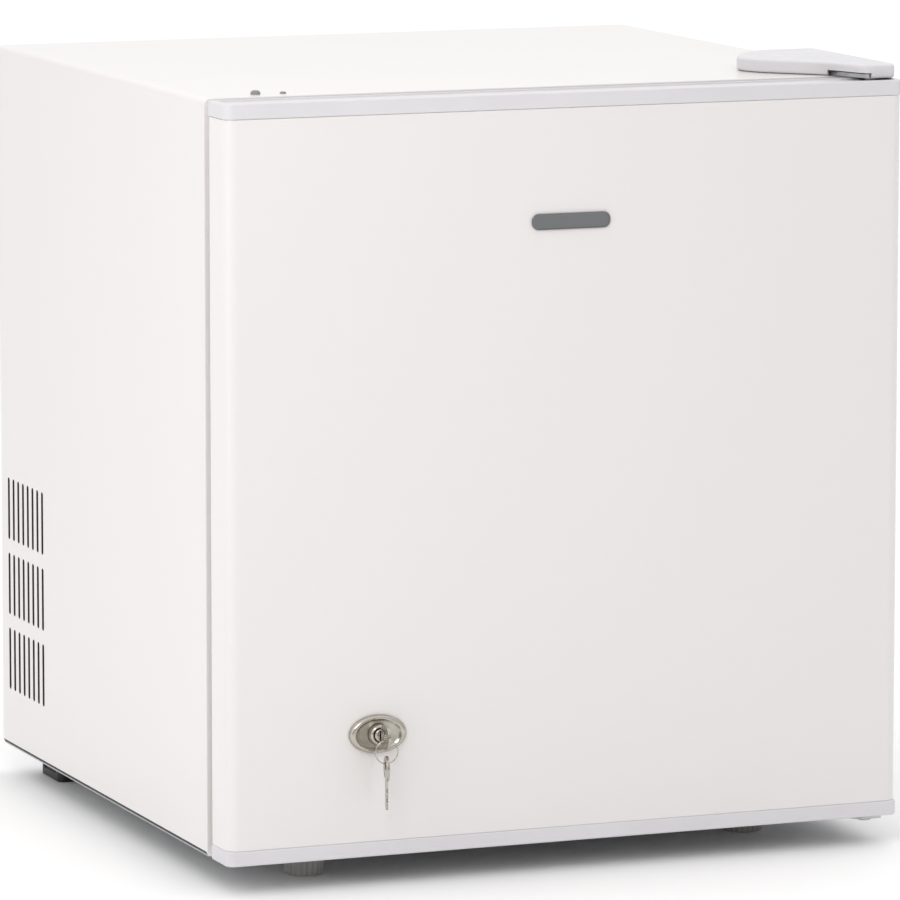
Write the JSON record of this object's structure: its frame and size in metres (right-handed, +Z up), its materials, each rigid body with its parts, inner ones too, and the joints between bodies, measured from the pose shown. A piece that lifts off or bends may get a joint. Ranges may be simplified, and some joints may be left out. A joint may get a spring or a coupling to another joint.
{
  "type": "mini fridge",
  "caption": "Cube-shaped white compact refrigerator with a lockable hinged door, ice box with flap, wire shelf, door racks and a rear compressor bay.",
  "frame": {"origin": "on the floor, under the middle of the whole object's box", "axes": "+X to the right of someone facing the door, +Y from the door to the back, +Z up"},
  "size_m": [0.45, 0.4659, 0.4945],
  "materials": {
    "white_paint": "smooth semi-gloss powder coat with very fine orange peel",
    "white_plastic": "moulded ABS, satin, slightly cooler than the painted steel",
    "liner": "vacuum formed polystyrene, satin gloss",
    "clear_plastic": "clear moulded polystyrene",
    "foam": "rigid polyurethane foam, cut skin",
    "galvanised": "galvanised sheet, dull",
    "black_paint": "black enamel",
    "black_plastic": "moulded, fine texture",
    "black_rubber": "moulded rubber",
    "gasket": "soft extruded vinyl with a magnetic core",
    "grey_plastic": "moulded nylon, satin",
    "copper": "drawn copper tube, dulled",
    "aluminium": "roll-bonded sheet, satin anodised",
    "chrome": "nickel-chrome plating, polished with fine scratches",
    "shelf_wire": "white epoxy coated wire",
    "badge": "blank brushed plate"
  },
  "bodies": {
    "cabinet": {"outer_shell": "white_paint", "cabinet_foam": "foam", "inner_liner": "liner", "back_panel": "galvanised", "chamber_panel": "galvanised", "bottom_panel": "galvanised", "condenser_coil_left": "copper", "condenser_coil_right": "copper", "compressor_base": "galvanised", "compressor": "black_paint", "compressor_grommet_1": "black_rubber", "compressor_grommet_2": "black_rubber", "compressor_grommet_3": "black_rubber", "compressor_grommet_4": "black_rubber", "relay_cover": "black_plastic", "evaporation_tray": "white_plastic", "filter_drier": "copper", "discharge_tube": "copper", "suction_tube": "copper", "cable_gland": "black_rubber", "rear_foot_left": "black_plastic", "rear_foot_right": "black_plastic", "evaporator": "aluminium", "ice_box_frame": "white_plastic", "thermostat_housing": "white_plastic", "top_hinge_bracket": "galvanised", "bottom_hinge_bracket": "galvanised", "top_hinge_screw_1": "galvanised", "top_hinge_screw_2": "galvanised", "bottom_hinge_screw_1": "galvanised", "bottom_hinge_screw_2": "galvanised", "hinge_cover": "white_plastic", "lock_strike": "galvanised", "spare_hinge_plug_1": "grey_plastic", "spare_hinge_plug_2": "grey_plastic"},
    "ice_box_flap": {"ice_box_flap": "clear_plastic"},
    "drip_tray": {"drip_tray": "clear_plastic"},
    "wire_shelf": {"wire_shelf": "shelf_wire"},
    "thermostat_knob": {"thermostat_knob": "white_plastic"},
    "front_foot_left": {"front_foot_left": "grey_plastic"},
    "front_foot_right": {"front_foot_right": "grey_plastic"},
    "door": {"door_skin": "white_paint", "door_foam": "foam", "door_liner": "liner", "door_gasket": "gasket", "door_top_cap": "white_plastic", "door_bottom_cap": "white_plastic", "top_hinge_bush": "black_plastic", "bottom_hinge_bush": "black_plastic", "bottle_rack": "clear_plastic", "can_rack": "clear_plastic", "door_badge": "badge", "lock_escutcheon": "chrome", "lock_barrel": "chrome", "lock_nut": "chrome"},
    "lock": {"lock_plug": "chrome", "lock_cam": "galvanised", "key": "chrome"},
    "key_ring": {"key_ring": "chrome"},
    "spare_key": {"spare_key": "chrome"}
  },
  "joints": [
    {"name": "door_hinge", "type": "hinge", "parent": "cabinet", "child": "door", "pos_m": [0.209, -0.193, 0.252], "axis": [0, 0, 1], "range_deg": [0, 135]},
    {"name": "lock_turn", "type": "hinge", "parent": "door", "child": "lock", "pos_m": [-0.1275, -0.209, 0.096], "axis": [0, 1, 0], "range_deg": [0, 90]},
    {"name": "key_ring_swing", "type": "hinge", "parent": "lock", "child": "key_ring", "pos_m": [-0.1275, -0.225, 0.0945], "axis": [1, 0, 0], "range_deg": [-75, 8]},
    {"name": "spare_key_swing", "type": "hinge", "parent": "key_ring", "child": "spare_key", "pos_m": [-0.1275, -0.225, 0.0804], "axis": [1, 0, 0], "range_deg": [-30, 10]},
    {"name": "flap_hinge", "type": "hinge", "parent": "cabinet", "child": "ice_box_flap", "pos_m": [-0.035, -0.04, 0.433], "axis": [-1, 0, 0], "range_deg": [0, 85]},
    {"name": "knob_turn", "type": "hinge", "parent": "cabinet", "child": "thermostat_knob", "pos_m": [0.157, 0.004, 0.423], "axis": [0, 1, 0], "range_deg": [0, 270]},
    {"name": "drip_tray_slide", "type": "slide", "parent": "cabinet", "child": "drip_tray", "axis": [0, -1, 0], "range_m": [0, 0.04]},
    {"name": "shelf_slide", "type": "slide", "parent": "cabinet", "child": "wire_shelf", "axis": [0, -1, 0], "range_m": [0, 0.03]},
    {"name": "left_foot_screw", "type": "slide", "parent": "cabinet", "child": "front_foot_left", "axis": [0, 0, -1], "range_m": [0, 0.008]},
    {"name": "right_foot_screw", "type": "slide", "parent": "cabinet", "child": "front_foot_right", "axis": [0, 0, -1], "range_m": [0, 0.008]}
  ]
}
